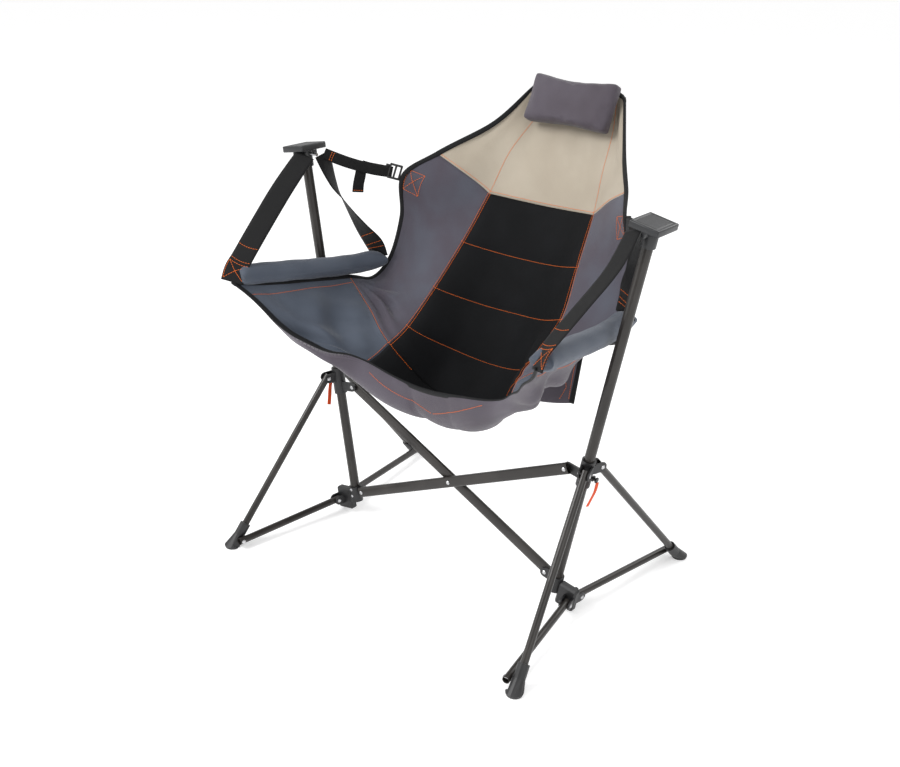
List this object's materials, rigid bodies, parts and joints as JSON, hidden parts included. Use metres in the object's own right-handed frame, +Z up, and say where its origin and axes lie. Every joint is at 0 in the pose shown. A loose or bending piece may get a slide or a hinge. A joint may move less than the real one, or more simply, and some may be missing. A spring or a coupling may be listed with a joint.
{
  "type": "folding camp chair with swinging hammock seat",
  "caption": "Folding steel camp chair frame with crossed bars, splayed legs and leaning posts that carry a swinging fabric hammock seat with padded arms and a head pillow.",
  "frame": {"origin": "on the floor, in the middle of the chair's outline seen from above; the plane of the posts and crossed bars is 68.45 mm in front of it", "axes": "+X to the sitter's left, +Y towards the back of the chair, +Z up"},
  "size_m": [0.9404, 0.7688, 1.0336],
  "materials": {
    "frame_steel": "satin dark brown-grey powder coat",
    "plastic": "fine grained",
    "rivet": "bright",
    "pull": "red webbing",
    "webbing": "ribbed webbing",
    "sling": "coated woven polyester, grey-purple, black and beige panels",
    "arm_fabric": "padded woven polyester, blue-grey",
    "pillow_fabric": "padded woven polyester"
  },
  "bodies": {
    "post_left": {"post_left": "frame_steel", "post_cap_left": "plastic", "base_hub_left": "plastic", "hanger_bar_left": "rivet", "rivet_strut_front_left": "rivet", "rivet_strut_rear_left": "rivet", "rivet_bar_base_left": "rivet"},
    "collar_left": {"collar_left": "plastic", "rivet_leg_front_left": "rivet", "rivet_leg_rear_left": "rivet"},
    "pin_left": {"lock_pin_left": "plastic", "pull_tab_left": "pull"},
    "leg_front_left": {"leg_front_left": "frame_steel", "foot_front_left": "plastic"},
    "strut_front_left": {"strut_front_left": "frame_steel", "rivet_foot_front_left": "rivet"},
    "leg_rear_left": {"leg_rear_left": "frame_steel", "foot_rear_left": "plastic"},
    "strut_rear_left": {"strut_rear_left": "frame_steel", "rivet_foot_rear_left": "rivet"},
    "post_right": {"post_right": "frame_steel", "post_cap_right": "plastic", "base_hub_right": "plastic", "hanger_bar_right": "rivet", "rivet_strut_front_right": "rivet", "rivet_strut_rear_right": "rivet", "rivet_bar_base_right": "rivet"},
    "collar_right": {"collar_right": "plastic", "rivet_leg_front_right": "rivet", "rivet_leg_rear_right": "rivet"},
    "pin_right": {"lock_pin_right": "plastic", "pull_tab_right": "pull"},
    "leg_front_right": {"leg_front_right": "frame_steel", "foot_front_right": "plastic"},
    "strut_front_right": {"strut_front_right": "frame_steel", "rivet_foot_front_right": "rivet"},
    "leg_rear_right": {"leg_rear_right": "frame_steel", "foot_rear_right": "plastic"},
    "strut_rear_right": {"strut_rear_right": "frame_steel", "rivet_foot_rear_right": "rivet"},
    "bar_front": {"cross_bar_front": "frame_steel", "cross_rivet": "rivet", "rivet_bar_collar_right": "rivet"},
    "bar_rear": {"cross_bar_rear": "frame_steel", "rivet_bar_collar_left": "rivet"},
    "hammock": {"seat_sling": "sling", "back_sling": "sling", "head_pillow": "pillow_fabric", "rear_pouch": "sling", "arm_pad_left": "arm_fabric", "strap_front_left": "webbing", "strap_rear_left": "webbing", "recline_strap_left": "webbing", "recline_buckle_left": "plastic", "arm_pad_right": "arm_fabric", "strap_front_right": "webbing", "strap_rear_right": "webbing", "recline_strap_right": "webbing", "recline_buckle_right": "plastic"}
  },
  "joints": [
    {"name": "frame_fold", "type": "hinge", "parent": "post_left", "child": "bar_front", "pos_m": [-0.26411, -0.06845, 0.07194], "axis": [0, -1, 0], "range_deg": [0, 56.8], "deforming": ["seat_sling", "back_sling", "head_pillow", "rear_pouch", "arm_pad_left", "strap_front_left", "strap_rear_left", "recline_strap_left", "recline_buckle_left", "arm_pad_right", "strap_front_right", "strap_rear_right", "recline_strap_right", "recline_buckle_right"]},
    {"name": "bars_cross", "type": "hinge", "parent": "bar_front", "child": "bar_rear", "pos_m": [0, -0.06845, 0.196], "axis": [0, 1, 0], "range_deg": [0, 97.69]},
    {"name": "post_right_base", "type": "hinge", "parent": "bar_rear", "child": "post_right", "pos_m": [0.26411, -0.06845, 0.07194], "axis": [0, -1, 0], "range_deg": [0, 56.81]},
    {"name": "collar_slide_left", "type": "slide", "parent": "post_left", "child": "collar_left", "axis": [-0.1786, 0, 0.9839], "range_m": [0, 0.331]},
    {"name": "lock_pin_left", "type": "slide", "parent": "collar_left", "child": "pin_left", "axis": [-0.9839, 0, -0.1786], "range_m": [0, 0.005], "stiffness_N_per_m": 300, "springref_m": -0.003},
    {"name": "leg_front_left", "type": "hinge", "parent": "collar_left", "child": "leg_front_left", "pos_m": [-0.3565, -0.09631, 0.35062], "axis": [0.9543, -0.2838, 0.0932], "range_deg": [0, 24.26]},
    {"name": "strut_front_left", "type": "hinge", "parent": "post_left", "child": "strut_front_left", "pos_m": [-0.33424, -0.09245, 0.03279], "axis": [-0.977, 0.1697, -0.1291], "range_deg": [0, 65.98]},
    {"name": "leg_rear_left", "type": "hinge", "parent": "collar_left", "child": "leg_rear_left", "pos_m": [-0.35507, -0.04005, 0.35088], "axis": [-0.9747, -0.2143, -0.0641], "range_deg": [0, 18.06]},
    {"name": "strut_rear_left", "type": "hinge", "parent": "post_left", "child": "strut_rear_left", "pos_m": [-0.33424, -0.04445, 0.03279], "axis": [0.973, 0.1444, 0.1802], "range_deg": [0, 51.39]},
    {"name": "collar_slide_right", "type": "slide", "parent": "post_right", "child": "collar_right", "axis": [0.1786, 0, 0.9839], "range_m": [0, 0.331]},
    {"name": "lock_pin_right", "type": "slide", "parent": "collar_right", "child": "pin_right", "axis": [0.9839, 0, -0.1786], "range_m": [0, 0.005], "stiffness_N_per_m": 300, "springref_m": -0.003},
    {"name": "leg_front_right", "type": "hinge", "parent": "collar_right", "child": "leg_front_right", "pos_m": [0.3565, -0.09631, 0.35062], "axis": [0.9543, 0.2838, -0.0932], "range_deg": [0, 24.26]},
    {"name": "strut_front_right", "type": "hinge", "parent": "post_right", "child": "strut_front_right", "pos_m": [0.33424, -0.09245, 0.03279], "axis": [-0.977, -0.1697, 0.1291], "range_deg": [0, 65.98]},
    {"name": "leg_rear_right", "type": "hinge", "parent": "collar_right", "child": "leg_rear_right", "pos_m": [0.35507, -0.04005, 0.35088], "axis": [-0.9747, 0.2143, 0.0641], "range_deg": [0, 18.06]},
    {"name": "strut_rear_right", "type": "hinge", "parent": "post_right", "child": "strut_rear_right", "pos_m": [0.33424, -0.04445, 0.03279], "axis": [0.973, -0.1444, -0.1802], "range_deg": [0, 51.39]},
    {"name": "swing", "type": "hinge", "parent": "post_left", "child": "hammock", "pos_m": [0, -0.06845, 0.86244], "axis": [1, 0, 0], "range_deg": [-14, 12]}
  ],
  "couplings": [
    {"joint": "bars_cross", "follows": "frame_fold", "ratio": 1.7197},
    {"joint": "post_right_base", "follows": "frame_fold", "ratio": 1},
    {"joint": "collar_slide_left", "follows": "frame_fold", "m_per_rad": 0.33387},
    {"joint": "leg_front_left", "follows": "frame_fold", "ratio": 0.4269},
    {"joint": "strut_front_left", "follows": "frame_fold", "ratio": 1.1614},
    {"joint": "leg_rear_left", "follows": "frame_fold", "ratio": 0.31774},
    {"joint": "strut_rear_left", "follows": "frame_fold", "ratio": 0.90458},
    {"joint": "collar_slide_right", "follows": "frame_fold", "m_per_rad": 0.33387},
    {"joint": "leg_front_right", "follows": "frame_fold", "ratio": 0.4269},
    {"joint": "strut_front_right", "follows": "frame_fold", "ratio": 1.1614},
    {"joint": "leg_rear_right", "follows": "frame_fold", "ratio": 0.31774},
    {"joint": "strut_rear_right", "follows": "frame_fold", "ratio": 0.90458}
  ]
}
